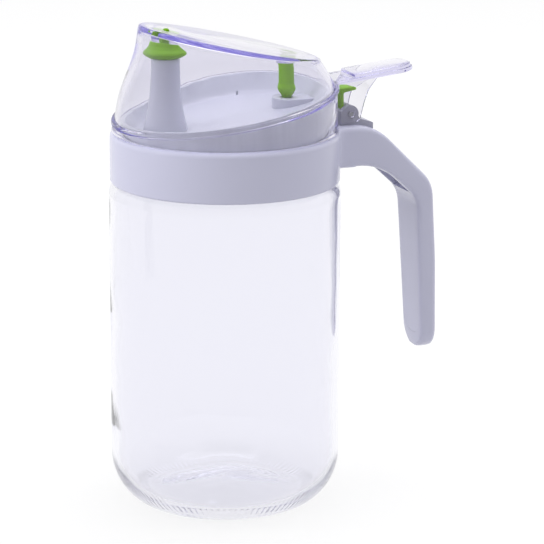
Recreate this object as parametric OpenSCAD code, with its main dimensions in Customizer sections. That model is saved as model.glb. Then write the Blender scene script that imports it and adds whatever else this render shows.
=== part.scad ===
// Glass oil dispenser: a wide-mouth jar with a screw-on pouring head, a strap handle and a
// clear thumb-lever lid that swings up on a pin. Millimetres, +Z up, origin at the centre of
// the ring that the jar stands on. The handle and the hinge are towards +X, the spout towards -X.

/* [Jar] */
// Outside radius of the glass body
jar_r = 45; // [40:0.5:52]
// Height from the table to the top of the glass shoulder
shoulder_z = 128; // [110:1:160]
// Thickness of the side wall
jar_wall = 2.5; // [1.8:0.1:3.4]
// Thickness of the glass in the base
base_t = 6; // [4:0.5:9]
// Radial depth of the rounded heel
heel_w = 16; // [10:0.5:18]
// Height of the rounded heel
heel_h = 20; // [14:0.5:28]
// Rise of the push-up under the base
kick_h = 4; // [2:0.5:6]
// Width of the ring that the jar stands on
ring_w = 4; // [3:0.5:6]
// Radius of the rounded shoulder
shoulder_r = 4; // [3:0.5:6]
// Step from the body's radius in to the neck finish
finish_step = 5; // [4.4:0.2:7]
// Height of the neck finish above the shoulder
finish_h = 13.5; // [12.5:0.5:18]
// Thickness of the neck wall
finish_wall = 3; // [2:0.2:4]

/* [Screw joint] */
// Number of threads round the neck, each with its own collar lug
lug_n = 4; // [3:1:5]
// Rise of the thread in a full turn
thread_lead = 19.2; // [17:0.2:22]
// How far a glass thread stands out of the neck
thread_d = 1.3; // [1:0.1:1.6]
// Height of a glass thread
thread_t = 1.8; // [1.4:0.1:2]
// Angle of a collar lug
lug_angle = 8; // [6:1:10]
// Play between a collar lug and the threads above and below it
lug_play = 0.7; // [0.6:0.05:0.8]
// Thickness of the sealing ring on the jar's lip
seal_t = 1.6; // [1:0.1:2.4]

/* [Collar] */
// Thickness of the collar's side wall
collar_wall = 2.8; // [2:0.1:4]
// Thickness of the collar's top ledge
ledge_t = 2.5; // [2:0.1:4]
// Width of the collar's top ledge inside the side wall
ledge_w = 1.3; // [1:0.1:2]
// Rounding of the collar's top edge
collar_round = 2; // [1:0.1:2.4]

/* [Handle] */
// Width of the handle where it leaves the collar
handle_w = 24; // [20:1:30]
// Width of the grip at its lower end
grip_w = 18.5; // [15:0.5:22]
// Clear distance from the collar's side to the inside of the grip, at the bend
hand_gap = 33.2; // [28:0.2:42]
// Thickness of the arch where it leaves the collar
arch_t = 16.2; // [12:0.2:17]
// Thickness of the grip at the bend
grip_t = 7; // [6:0.2:9]
// Height of the grip's lower end above the table
grip_z = 53; // [30:1:70]
// How far the grip leans out between the bend and its lower end
grip_lean = 3.5; // [0:0.1:6]
// Thickness of the handle shell round its hollow
shell_t = 2; // [1.6:0.1:2.6]
// Thickness of the cover that closes the hollow
cover_t = 1.8; // [1.4:0.1:2.2]

/* [Pouring insert] */
// Thickness of the insert's flange
flange_t = 2; // [1.6:0.1:3]
// Thickness of the insert's walls and floor
insert_wall = 1.6; // [1.2:0.1:2.2]
// Slope of the rim, the floor and the lever from level
tilt = 9; // [5:0.5:11]
// Height of the insert's rim above the collar's top, on the jar's axis
insert_rim_h = 10.9; // [10:0.1:12]
// Depth of the basin under the insert's rim
basin_d = 5.3; // [4.2:0.1:6.4]
// Distance from the basin's wall in to the spout's axis
spout_in = 14.4; // [12.4:0.2:18.4]
// Height of the spout's mouth above the collar's top
spout_h = 29.6; // [26:0.2:31]
// Outside radius of the spout at its mouth
spout_r = 5.4; // [5:0.1:6.5]
// Outside radius of the spout at its foot
spout_foot_r = 8.8; // [8:0.1:11]
// Radius of the spout's bore
spout_bore_r = 3.6; // [3:0.1:4]
// Distance from the basin's wall in to the vent's axis
vent_in = 12.9; // [10.5:0.2:16.5]
// Radius of the raised boss round the vent
vent_boss_r = 5.7; // [5:0.1:7]
// Height of the vent boss above the collar's top
vent_boss_h = 12.4; // [11.9:0.1:13.4]
// Radius of the vent hole
vent_r = 1.6; // [1.2:0.1:2]
// Radius of the small hole in the basin's floor
weep_r = 0.8; // [0.5:0.1:1.5]

/* [Lid] */
// Thickness of the clear walls
lid_wall = 1.9; // [1.5:0.1:2.3]
// How far the skirt's side stands back from the collar's side
skirt_step = 1.1; // [0.8:0.1:1.3]
// Height of the lid's rim above the insert's rim
lid_rim_h = 0.4; // [0.3:0.1:1.2]
// Height of the bead round the lid's rim
bead_t = 1.6; // [1:0.1:2.4]
// How far the bead stands out of the skirt
bead_d = 0.5; // [0.3:0.1:0.8]
// Height of the flat roof above the collar's top, on the jar's axis
roof_h = 35.2; // [34:0.2:40]
// Slope of the roof from level
roof_tilt = 12.25; // [8:0.25:13]
// How far each end of the roof stands in from the hood's foot
roof_end_in = 7.5; // [5.2:0.1:8.6]
// How far each side of the roof stands in from the hood's foot
roof_side_in = 12.6; // [8.6:0.2:16.6]
// Thickness of the roof
roof_t = 2.2; // [1.6:0.1:3]

/* [Lever and hinge] */
// Distance from the collar's side to the hinge pin's axis
hinge_out = 5; // [4.7:0.1:5.6]
// Height of the hinge pin's axis above the collar's top
hinge_up = 4.3; // [4.2:0.1:4.9]
// Radius of the hinge pin
pin_r = 1.1; // [0.9:0.05:1.4]
// Radius of the knuckle round the pin
knuckle_r = 3.4; // [3:0.1:3.5]
// Width of the lever and its two cheeks
lever_w = 17; // [15:0.5:20]
// Slope of the lever from level
lever_tilt = 6.4; // [4.6:0.2:9]
// Distance from the collar's side to the lever's tip
lever_reach = 33; // [28:0.5:34]
// Thickness of the lever's plate
lever_t = 1.6; // [1.4:0.1:2]
// How far the thumb pad stands above the lever's plate
pad_t = 1.2; // [0.6:0.1:1.6]
// Thickness of the cheeks
cheek_t = 1.6; // [1.3:0.1:2]
// Thickness of the silicone return strap
strap_t = 1.7; // [1.4:0.1:1.8]

/* [Silicone plugs] */
// Radius of the spout plug's flange
plug_flange_r = 8.2; // [7.6:0.1:9.2]
// Height of the spout plug above the spout's mouth
plug_h = 6.7; // [5.5:0.1:7]
// Radius of the vent plug
vent_plug_r = 3; // [2.6:0.1:3.3]
// Radius of the spout plug's nub, which holds it in the roof
nub_r = 1.2; // [1:0.1:1.6]

/* [Hidden] */
$fn = 96;
hull_fn = 48;

white = [0.86, 0.86, 0.91];
clear = [0.86, 0.87, 0.96, 0.35];
glass = [0.92, 0.94, 0.97, 0.35];
green = [0.47, 0.7, 0.24];
steel = [0.5, 0.5, 0.54];
silicone = [0.93, 0.93, 0.93];

// clearances
slide_gap = 0.3;      // between faces that turn or slide past each other
fit_gap = 0.1;        // between pieces that are pushed together and stay put
pin_gap = 0.05;       // running clearance round the hinge pin
seat_gap = 0.3;       // under a plug that closes its hole
skirt_gap = 0.5;      // between the skirt's lower edge and the collar

// jar
finish_r = jar_r - finish_step;
lip_z = shoulder_z + finish_h;
ring_r = jar_r - heel_w;

// screw threads: lug k slides up the channel between thread k and the one before it
lug_t = thread_lead / lug_n - thread_t - 2 * lug_play;
lug_z = slide_gap + 1;             // lugs' underside above the shoulder, at rest
thread_z = lug_z + lug_t + lug_play;
thread_turn = 360 * (finish_h - thread_z - thread_t - 0.7) / thread_lead;
thread_steps = 15;

// screw collar
collar_in = finish_r + thread_d + 0.4;
collar_r = collar_in + collar_wall;
collar_z = shoulder_z + slide_gap;
seal_z = lip_z + seal_t;
ledge_z = seal_z + flange_t;
collar_top = ledge_z + ledge_t;
opening_r = collar_in - ledge_w;

// pouring insert
insert_r = opening_r - 0.4;
basin_r = insert_r - insert_wall;
rim_z = collar_top + insert_rim_h;
floor_z = rim_z - basin_d;
spout_x = basin_r - spout_in;
vent_x = basin_r - vent_in;
spout_z = collar_top + spout_h;
boss_z = collar_top + vent_boss_h;
slope = tan(tilt);

// lid
skirt_r = collar_r - skirt_step;
skirt_in = skirt_r - lid_wall;
skirt_z = collar_top + skirt_gap;
lid_rim_z = rim_z + lid_rim_h;
hood_r = skirt_r - 0.8;
roof_a = hood_r - roof_end_in;
roof_b = hood_r - roof_side_in;
roof_x = 1.8;                      // how far the roof is set towards the handle
hood_edge = 0.4;                   // height of the upright edge round the roof
roof_z = collar_top + roof_h;
roof_slope = tan(roof_tilt);

// hinge and lever
hinge_x = collar_r + hinge_out;
hinge_z = collar_top + hinge_up;
lever_x = collar_r + lever_reach;
lever_slope = tan(lever_tilt);
// height of the lever's plane over the jar's axis
lever_top = sloped(lid_rim_z, skirt_r) - 0.4 - skirt_r * lever_slope;
cheek_out = lever_w / 2 - 0.15;     // the lever's plate stands a little past its cheeks
cheek_in = cheek_out - cheek_t;
knuckle_w = 2 * (cheek_in - slide_gap);
strap_w = knuckle_w - 2.8;
strap_x = hinge_x - pin_r - 0.7 - strap_t / 2;
strap_z = collar_top + 0.7;        // foot of the strap, in its slot beside the pin
strap_tab = 6;                     // length of the strap's tab under the lever
strap_tab_t = 1.5;                 // thickness of the tab
bracket_run = 10;                  // how far the bracket's foot runs out along the arch
bracket_in = 3;                    // how deep the bracket's foot is let into the arch
bracket_up = 1.2;                  // height of the strap's socket above the pin
pad_start = 2;                     // how far behind the hinge pin the thumb pad starts

// handle
bend_x = collar_r + hand_gap;      // inside of the grip at the bend
bend_z = collar_top - 30.5;
foot_x = bend_x + grip_lean;       // inside of the grip at its lower end
arch_z = collar_top - 0.2;
arch_under_z = arch_z - arch_t;
cover_z = bend_z + 4.5;            // top of the cover
channel_w = grip_w - 2 * shell_t;
arch_run = 14.1;                   // from the collar's side to where the arch turns down
arch_drop = 24.8;                  // from the arch's top to the bend, on the outside
grip_drop = 56;                    // from the arch's top to where the grip's back runs straight
arch_round = 20;                   // rounding where the arch turns down
bend_drop = 8;                     // from the bend to where the grip's inside runs straight
bend_round = 14;                   // rounding of the bend
grip_round = 80;                   // slow curve of the grip's back
hollow_foot = 6;                   // solid foot of the grip under its hollow
cover_lean = 4.2;                  // how far the cover's top leans in from the bend
cover_round = 30;                  // curve of the cover at the bend
root_in = 6;                       // how far the handle runs into the collar before it is cut off

tall = 100;                        // longer than any cut that it is used for

// height of a plane that slopes up towards the handle, through z0 on the jar's axis
function sloped(z0, x) = z0 + x * slope;
function unit(v) = v / norm(v);
function fold(a) = a > 180 ? a - 360 : a < -180 ? a + 360 : a;

// an arc's points: centre, radii along both axes, first and last angle, number of steps
function arc(c, rx, ry, a0, a1, n) =
    [for (i = [0:n]) let (a = a0 + (a1 - a0) * i / n) [c[0] + rx * cos(a), c[1] + ry * sin(a)]];

// one corner [x, y, radius] rounded between its neighbours
function corner(p, c, q, n) =
    let (c2 = [c[0], c[1]], u = unit([p[0], p[1]] - c2), v = unit([q[0], q[1]] - c2),
         half = acos(u * v) / 2, m = c2 + unit(u + v) * c[2] / sin(half),
         s = c2 + u * c[2] / tan(half) - m, e = c2 + v * c[2] / tan(half) - m,
         a0 = atan2(s[1], s[0]), turn = fold(atan2(e[1], e[0]) - a0))
    arc(m, c[2], c[2], a0, a0 + turn, n);

// an outline from corners [x, y, radius]; a radius of 0 keeps the corner sharp
function rounded(k, n = 8) =
    [for (i = [0:len(k) - 1]) each (k[i][2] == 0 ? [[k[i][0], k[i][1]]]
        : corner(k[(i + len(k) - 1) % len(k)], k[i], k[(i + 1) % len(k)], n))];

// a flat shape in X and Z, given its width along Y
module side_plate(points, w) {
    rotate([90, 0, 0]) translate([0, 0, -w / 2]) linear_extrude(w) polygon(points);
}

// a slab below the sloping plane through z0, as deep as d
module under_plane(z0, d) {
    translate([0, 0, z0]) rotate([0, -tilt, 0]) translate([-tall, -tall, -d])
        cube([2 * tall, 2 * tall, d]);
}

module turned(points) {
    rotate_extrude() polygon(points);
}

// ---- jar and seal ----

// a level piece of thread from radius r0 to r1, t high and centred at angle a and height z
module thread_piece(r0, r1, t, turn, a, z) {
    h = t / 2;
    bevel = 0.35 * sign(r1 - r0);
    rotate([0, 0, a - turn / 2])
        rotate_extrude(angle = turn) polygon([[r0, z - h], [r1 - bevel, z - h], [r1, z - h + 0.4],
                                              [r1, z + h - 0.4], [r1 - bevel, z + h], [r0, z + h]]);
}

module glass_jar() {
    in_r = jar_r - jar_wall;
    mouth_r = finish_r - finish_wall;
    in_floor_r = ring_r - 2;
    outer = concat(
        arc([ring_r, heel_h], heel_w, heel_h, -90, 0, 12),
        arc([jar_r - shoulder_r, shoulder_z - shoulder_r], shoulder_r, shoulder_r, 0, 90, 6),
        [[finish_r, shoulder_z], [finish_r, lip_z - 0.8], [finish_r - 0.8, lip_z]]);
    inner = concat(
        [[mouth_r + 0.8, lip_z], [mouth_r, lip_z - 0.8], [mouth_r, shoulder_z - 1]],
        arc([mouth_r, shoulder_z - 1 - shoulder_r], in_r - mouth_r, shoulder_r, 90, 0, 6),
        arc([in_floor_r, base_t + heel_h - 6], in_r - in_floor_r, heel_h - 6, 0, -90, 10));
    dome = [for (i = [0:8]) let (r = in_floor_r * (1 - i / 8))
        [r, base_t + kick_h * (1 - pow(r / in_floor_r, 2))]];
    push_up = [for (i = [8:-1:0]) let (r = (ring_r - ring_w) * (1 - i / 8))
        [r, kick_h * (1 - pow(r / (ring_r - ring_w), 2))]];
    color(glass) union() {
        turned(concat(outer, inner, dome, push_up));
        for (k = [0:lug_n - 1], i = [0:thread_steps - 1]) {
            a = thread_turn * (i + 0.5) / thread_steps - lug_angle / 2;
            thread_piece(finish_r - 0.4, finish_r + thread_d, thread_t,
                         thread_turn / thread_steps + 0.02, k * 360 / lug_n + a,
                         shoulder_z + thread_z + thread_t / 2 + thread_lead * a / 360);
        }
    }
}

module jar_seal() {
    color(silicone) difference() {
        translate([0, 0, lip_z]) cylinder(h = seal_t, r = finish_r + 1);
        translate([0, 0, lip_z - 1]) cylinder(h = seal_t + 2, r = finish_r - finish_wall + 0.2);
    }
}

// ---- collar and handle ----

handle_outer = [[collar_in - root_in, arch_z, 0], [collar_r + arch_run, arch_z, arch_round],
                [bend_x + grip_t - 0.6, arch_z - arch_drop, bend_round],
                [bend_x + grip_t + 1.8, arch_z - grip_drop, grip_round],
                [foot_x + grip_t - 0.5, grip_z, 0]];
handle_inner = [[foot_x, grip_z, 0], [bend_x, bend_z, bend_round],
                [collar_r + arch_run + 2, arch_under_z + 0.6, 0.8 * arch_round],
                [collar_in - root_in, arch_under_z, 0]];

// the handle's outline from the side
module handle_side() {
    side_plate(rounded(concat(handle_outer, handle_inner)), handle_w + 10);
}

// the handle's outline from the front: narrower and rounded at the grip's end
module handle_front(inset) {
    w = handle_w / 2 - inset;
    g = grip_w / 2 - inset;
    r = g - 1;
    z = bend_z + bend_drop;
    top = collar_top + bend_drop;
    points = rounded([[-g, grip_z + inset, r], [g, grip_z + inset, r], [w - 1, z, cover_round],
                      [w, top, 0], [-w, top, 0], [-w + 1, z, cover_round]]);
    translate([collar_in - root_in - 1, 0, 0]) rotate([90, 0, 90])
        linear_extrude(foot_x + 2 * grip_t - collar_in + root_in) polygon(points);
}

// the hollow in the grip, open towards the jar, with its outer wall left at shell_t
module handle_hollow() {
    back = grip_t - shell_t;
    foot = grip_z + hollow_foot;
    mouth_x = collar_r + arch_run + 5.4;
    points = [[mouth_x, arch_under_z - 4.2], [mouth_x + 3, arch_under_z - 0.6],
              [bend_x + back - 3.4, bend_z + 2], [bend_x + back - 1, bend_z - bend_drop],
              [foot_x + back - 0.8, foot], [foot_x - hollow_foot, foot],
              [bend_x - bend_drop, bend_z]];
    intersection() {
        side_plate(points, channel_w);
        handle_front(shell_t + 0.6);
    }
}

module collar_handle() {
    ring = rounded([[collar_r, collar_z, 1], [collar_r, collar_top, collar_round],
                    [opening_r, collar_top, 0.4], [opening_r, ledge_z, 0], [collar_in, ledge_z, 0],
                    [collar_in, collar_z, 0]]);
    color(white) difference() {
        union() {
            turned(ring);
            for (k = [0:lug_n - 1])
                thread_piece(collar_in + 0.4, finish_r + slide_gap, lug_t, lug_angle,
                             k * 360 / lug_n, shoulder_z + lug_z + lug_t / 2);
            difference() {
                intersection() {
                    handle_side();
                    handle_front(0);
                }
                cylinder(h = 2 * collar_top, r = collar_in + 1);
                handle_hollow();
            }
            knuckle_bracket();
        }
        translate([hinge_x, 0, hinge_z]) rotate([90, 0, 0])
            cylinder(h = knuckle_w + 2, r = pin_r + 0.02, center = true);
        translate([strap_x - strap_t / 2 - fit_gap, -strap_w / 2 - fit_gap, strap_z - fit_gap])
            cube([strap_t + 2 * fit_gap, strap_w + 2 * fit_gap, 4 * knuckle_r]);
    }
}

// the knuckle that holds the hinge pin, with the strap's socket and a foot along the arch
module knuckle_bracket() {
    back = strap_x - strap_t / 2 - fit_gap - 1;
    front = hinge_x + knuckle_r;
    tip = hinge_x + bracket_run;
    top = hinge_z + bracket_up;
    foot = rounded([[back, arch_z - 2, 0], [back, top, 0.5], [hinge_x, top, 0],
                    [front - 0.4, hinge_z, 0], [front + 0.4, collar_top + 2.2, 0.6],
                    [tip, collar_top + 0.2, 0.4], [tip, arch_z - bracket_in, 0]], 4);
    translate([hinge_x, 0, hinge_z]) rotate([90, 0, 0])
        cylinder(h = knuckle_w, r = knuckle_r, center = true);
    side_plate(foot, knuckle_w);
}

module handle_cover() {
    t = cover_t;
    foot = grip_z + hollow_foot + 2 * fit_gap;
    z = bend_z - bend_drop;
    x = bend_x + 0.25;
    top_x = bend_x - cover_lean;
    points = rounded([[foot_x + 0.05, foot, 0], [x, z, cover_round], [top_x, cover_z, 0],
                      [top_x + 1.1 * t, cover_z + 0.6, 0], [x + t, z, cover_round],
                      [foot_x + t, foot, 0]]);
    color(white) intersection() {
        side_plate(points, channel_w - 2 * fit_gap);
        handle_front(shell_t + 0.6 + fit_gap);
    }
}

// ---- pouring insert ----

module pour_insert() {
    color(white) difference() {
        union() {
            difference() {
                union() {
                    translate([0, 0, seal_z]) cylinder(h = flange_t, r = collar_in - slide_gap);
                    in_the_insert(insert_r, rim_z, seal_z);
                }
                // the basin above the floor and the space under it
                difference() {
                    translate([0, 0, seal_z - 1]) cylinder(h = tall, r = basin_r);
                    under_plane(floor_z, tall);
                }
                in_the_insert(basin_r, floor_z - insert_wall, seal_z - 1);
            }
            spout_tower();
            vent_boss();
        }
        translate([-spout_x, 0, seal_z]) cylinder(h = tall, r = spout_bore_r);
        translate([vent_x, 0, seal_z]) cylinder(h = tall, r = vent_r);
        translate([vent_x, 0, boss_z - 1]) cylinder(h = 2, r = vent_r + 0.8);
        translate([basin_r * 0.44, basin_r * 0.78, seal_z]) cylinder(h = tall, r = weep_r);
    }
}

// a cylinder about the jar's axis, from a level bottom up to the sloping plane through z_top
module in_the_insert(r, z_top, z_bottom) {
    intersection() {
        translate([0, 0, z_bottom]) cylinder(h = tall, r = r);
        under_plane(z_top, tall);
    }
}

// the tapered spout, standing in the middle of the floor's thickness
module spout_tower() {
    foot_z = sloped(floor_z, -spout_x) - insert_wall;
    flare = [for (i = [0:8]) let (u = i / 8)
        [spout_r + (spout_foot_r - spout_r) * pow(1 - u, 2.4),
         foot_z + 1 + (spout_z - foot_z - 1) * u]];
    difference() {
        translate([-spout_x, 0, 0])
            turned(concat([[0, foot_z - 2], [spout_foot_r + 0.6, foot_z - 2]], flare, [[0, spout_z]]));
        under_plane(floor_z - insert_wall / 2, tall);
    }
}

// the raised boss round the vent, run back into the wall
module vent_boss() {
    h = boss_z - seal_z;
    difference() {
        intersection() {
            union() {
                translate([vent_x, 0, seal_z]) cylinder(h = h, r = vent_boss_r);
                translate([vent_x, -vent_boss_r, seal_z]) cube([vent_in, 2 * vent_boss_r, h]);
            }
            translate([0, 0, seal_z]) cylinder(h = tall, r = insert_r - insert_wall / 2);
        }
        under_plane(floor_z - insert_wall / 2, tall);
    }
}

module hinge_pin() {
    color(steel) translate([hinge_x, 0, hinge_z]) rotate([90, 0, 0])
        cylinder(h = 2 * cheek_out - 0.2, r = pin_r, center = true);
}

// ---- silicone ----

module return_strap() {
    back = strap_x - strap_t / 2;
    front = strap_x + strap_t / 2;
    end = strap_x + strap_tab;
    top_z = lever_top + strap_x * lever_slope - lever_t - 2;
    points = rounded([[back, strap_z, 0], [back, top_z, 1.2], [end, top_z + 0.6, 0.6],
                      [end, top_z + 0.6 - strap_tab_t, 0.5], [front, top_z - strap_tab_t - 0.7, 0.8],
                      [front, strap_z, 0]], 4);
    color(green) side_plate(points, strap_w);
}

module spout_plug() {
    z = spout_z + seat_gap;
    r = plug_flange_r;
    nub = roof_z + roof_slope * spout_x + 0.6;
    color(green) translate([-spout_x, 0, 0])
        turned([[0, z], [r - 2, z], [r - 0.5, z + 1], [r, z + 1.8], [r - 0.3, z + 2.5],
                [r - 1.5, z + 3.6], [r - 2.6, z + 5], [r - 3.1, z + plug_h], [nub_r, z + plug_h],
                [nub_r, nub - 0.4], [nub_r - 0.4, nub], [0, nub]]);
}

module vent_plug() {
    z = boss_z;
    r = vent_plug_r;
    top = roof_z - roof_slope * vent_x - roof_t - 0.9;
    color(green) translate([vent_x, 0, 0])
        turned([[0, z - 0.7], [vent_r - 0.1, z - 0.7], [r - 1.1, z + 0.3], [r + 0.3, z + 2.2],
                [r + 0.5, z + 2.9], [r + 0.3, z + 3.5], [r, z + 3.8], [r, top], [0, top]]);
}

// ---- lid ----

// the hood's outline as a solid, shrunk by t on every side
module hood(t) {
    foot_z = lid_rim_z - t - 1.2 * hood_edge;
    tilted = [[1, 0, 0, 0], [0, 1, 0, 0], [slope, 0, 1, foot_z], [0, 0, 0, 1]];
    hull($fn = hull_fn) {
        multmatrix(tilted) cylinder(h = 2 * hood_edge, r = hood_r - 0.8 * t);
        translate([roof_x, 0, roof_z - roof_slope * roof_x - 1.1 * t]) rotate([0, roof_tilt, 0])
            translate([0, 0, -hood_edge]) scale([roof_a - t, roof_b - t, 1])
                cylinder(h = hood_edge, r = 1);
    }
}

// what the sloping lid planes leave of a ring, between two heights over the jar's axis
module sloped_ring(r_out, r_in, z_low, z_high) {
    difference() {
        intersection() {
            cylinder(h = 2 * collar_top, r = r_out);
            under_plane(z_high, tall);
        }
        under_plane(z_low, tall);
        translate([0, 0, -1]) cylinder(h = 2 * collar_top + 2, r = r_in);
    }
}

module lever_plate(x0, x1, w, t) {
    points = rounded([[x0, -w / 2, 0], [x1, -w / 2, w * 0.42], [x1, w / 2, w * 0.42], [x0, w / 2, 0]]);
    rotate([0, -lever_tilt, 0]) translate([0, 0, -t]) linear_extrude(t) polygon(points);
}

module cheek_profile() {
    top = lever_top + hinge_x * lever_slope - 0.5;
    r = knuckle_r;
    points = rounded([[skirt_r - 1, skirt_z, 0], [hinge_x - 1, hinge_z - r + 0.3, 2],
                      [hinge_x + r + 0.1, hinge_z - r + 0.5, 1.8],
                      [hinge_x + 1.6 * r, hinge_z + 1.3 * r, 3.5 * r],
                      [hinge_x + 2.1 * r, hinge_z + 2.7 * r, 2.4 * r],
                      [hinge_x + 3.4 * r, top + 1.2, 0], [skirt_r - 1, top - 1.2, 0]], 4);
    for (s = [-1, 1]) translate([0, s * (cheek_in + cheek_t / 2), 0]) side_plate(points, cheek_t);
}

module lid() {
    boss_top = roof_z + roof_slope * spout_x - 1;
    boss_bottom = spout_z + seat_gap + plug_h;
    vent_top = roof_z - roof_slope * vent_x - 1;
    color(clear) difference() {
        union() {
            // skirt up to the rim, with the bead round it
            intersection() {
                translate([0, 0, skirt_z]) cylinder(h = tall, r = skirt_r);
                under_plane(lid_rim_z, tall);
            }
            sloped_ring(skirt_r + bead_d, skirt_in, lid_rim_z - bead_t, lid_rim_z);
            hood(0);
            translate([0, 0, lever_top]) lever_plate(skirt_in, lever_x / cos(lever_tilt), lever_w, lever_t);
            translate([0, 0, lever_top + pad_t])
                lever_plate(hinge_x + pad_start, lever_x / cos(lever_tilt) - 0.8, lever_w - 2, pad_t + 0.5);
            cheek_profile();
        }
        // inside of the hood and the skirt, with the plugs' bosses left hanging from the roof
        difference() {
            union() {
                hood(lid_wall);
                intersection() {
                    translate([0, 0, skirt_z - 1]) cylinder(h = tall, r = skirt_in);
                    under_plane(lid_rim_z - lid_wall, tall);
                }
            }
            translate([-spout_x, 0, boss_bottom]) cylinder(h = 40, r = 5);
            translate([vent_x, 0, vent_top - roof_t + 0.1]) cylinder(h = 40, r = vent_plug_r + 0.6);
        }
        translate([-spout_x, 0, boss_bottom - 1]) cylinder(h = boss_top - boss_bottom + 8, r = nub_r);
        translate([hinge_x, 0, hinge_z]) rotate([90, 0, 0])
            cylinder(h = lever_w + 2, r = pin_r + pin_gap, center = true);
        // the gap in the skirt for the knuckle and the strap
        translate([skirt_in - knuckle_r, -cheek_in, skirt_z - 1])
            cube([4 * knuckle_r, 2 * cheek_in, lever_top + skirt_in * lever_slope - lever_t - skirt_z]);
    }
}

glass_jar();
jar_seal();
collar_handle();
handle_cover();
pour_insert();
hinge_pin();
return_strap();
lid();
spout_plug();
vent_plug();
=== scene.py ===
# Glass oil dispenser. Sizes in the dictionaries are in millimetres, in the frame's own axes:
# the handle is towards +X, the spout towards -X, and the jar stands on z = 0.
import math

import bpy
from mathutils import Euler, Matrix, Vector


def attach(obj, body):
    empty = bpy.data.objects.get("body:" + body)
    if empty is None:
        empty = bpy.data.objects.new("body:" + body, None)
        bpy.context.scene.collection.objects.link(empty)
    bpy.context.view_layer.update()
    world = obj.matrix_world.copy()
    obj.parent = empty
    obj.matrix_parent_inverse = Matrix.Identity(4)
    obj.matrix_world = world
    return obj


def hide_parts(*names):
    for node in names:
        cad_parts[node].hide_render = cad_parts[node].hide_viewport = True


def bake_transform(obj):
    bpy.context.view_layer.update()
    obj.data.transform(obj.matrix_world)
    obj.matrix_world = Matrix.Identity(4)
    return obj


mm = 0.001
slope = math.tan(math.radians(9))  # the rim and the basin's floor climb towards the handle
leverSlope = math.tan(math.radians(6.4))  # the lever climbs less
roofSlope = math.tan(math.radians(12.25))  # the roof falls towards the handle

camera = {
    "distance": 1018.8,  # from the jar's axis, measured level
    "height": 357.75,
    "side": 21,  # degrees round from the front, towards the spout
    "down": 14.66,
    "turn": 1.03,  # aimed a little right of the jar
    "roll": 0.27,
    "lens": 178.4,
}


def placeCamera():
    clearSelection()
    a = math.radians(camera["side"])
    d = camera["distance"] * mm
    bpy.ops.object.camera_add(location=(-d * math.sin(a), -d * math.cos(a), camera["height"] * mm))
    eye = bpy.context.object
    eye.name = "eye"
    eye.data.lens = camera["lens"]
    eye.data.clip_start = 0.05
    aim = Euler((math.radians(90 - camera["down"]), 0, -a - math.radians(camera["turn"])))
    roll = Matrix.Rotation(math.radians(camera["roll"]), 3, "Z")
    eye.rotation_euler = (aim.to_matrix() @ roll).to_euler()
    bpy.context.scene.camera = eye


def clearSelection():
    if bpy.context.mode != "OBJECT":
        bpy.ops.object.mode_set(mode="OBJECT")
    bpy.ops.object.select_all(action="DESELECT")


def takeUp(piece):
    clearSelection()
    piece.select_set(True)
    bpy.context.view_layer.objects.active = piece


def editAll(piece):
    takeUp(piece)
    bpy.ops.object.mode_set(mode="EDIT")
    bpy.ops.mesh.select_all(action="SELECT")


def endEdit(outwards=True):
    bpy.ops.mesh.select_all(action="SELECT")
    if outwards:
        bpy.ops.mesh.normals_make_consistent(inside=False)
    bpy.ops.object.mode_set(mode="OBJECT")


def settle(piece):
    takeUp(piece)
    bpy.ops.object.transform_apply(location=True, rotation=True, scale=True)
    return piece


# opens the piece for editing with the faces chosen whose middle and normal pass the test
def pickFaces(piece, test):
    takeUp(piece)
    bpy.ops.object.mode_set(mode="EDIT")
    bpy.ops.mesh.select_mode(type="FACE")
    bpy.ops.mesh.select_all(action="DESELECT")
    bpy.ops.object.mode_set(mode="OBJECT")
    for face in piece.data.polygons:
        face.select = test(face.center / mm, face.normal)
    bpy.ops.object.mode_set(mode="EDIT")


def arc(cx, cz, rx, rz, first, last, steps):
    turns = [math.radians(first + (last - first) * i / steps) for i in range(steps + 1)]
    return [(cx + rx * math.cos(t), cz + rz * math.sin(t)) for t in turns]


# the rounding of one corner between its two neighbours
def cornerArc(before, corner, after, radius, steps):
    c = Vector(corner)
    u = (Vector(before) - c).normalized()
    v = (Vector(after) - c).normalized()
    half = u.angle(v) / 2
    middle = c + (u + v).normalized() * radius / math.sin(half)
    start = c + u * radius / math.tan(half) - middle
    end = c + v * radius / math.tan(half) - middle
    first = math.degrees(math.atan2(start.y, start.x))
    turn = math.remainder(math.degrees(math.atan2(end.y, end.x)) - first, 360)
    return arc(middle.x, middle.y, radius, radius, first, first + turn, steps)


# corners are (x, z, radius); a radius of 0 stays sharp
def roundCorners(corners, steps=6):
    path = []
    for i, (x, z, radius) in enumerate(corners):
        before, after = corners[i - 1], corners[(i + 1) % len(corners)]
        path += [(x, z)] if radius == 0 else cornerArc(before[:2], (x, z), after[:2], radius, steps)
    return path


# points from a up to, but not at, b
def spread(a, b, step):
    n = max(1, round(math.dist(a, b) / step))
    return [(a[0] + (b[0] - a[0]) * i / n, a[1] + (b[1] - a[1]) * i / n) for i in range(n)]


def between(a, b, share):
    return (a[0] + (b[0] - a[0]) * share, a[1] + (b[1] - a[1]) * share)


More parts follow.
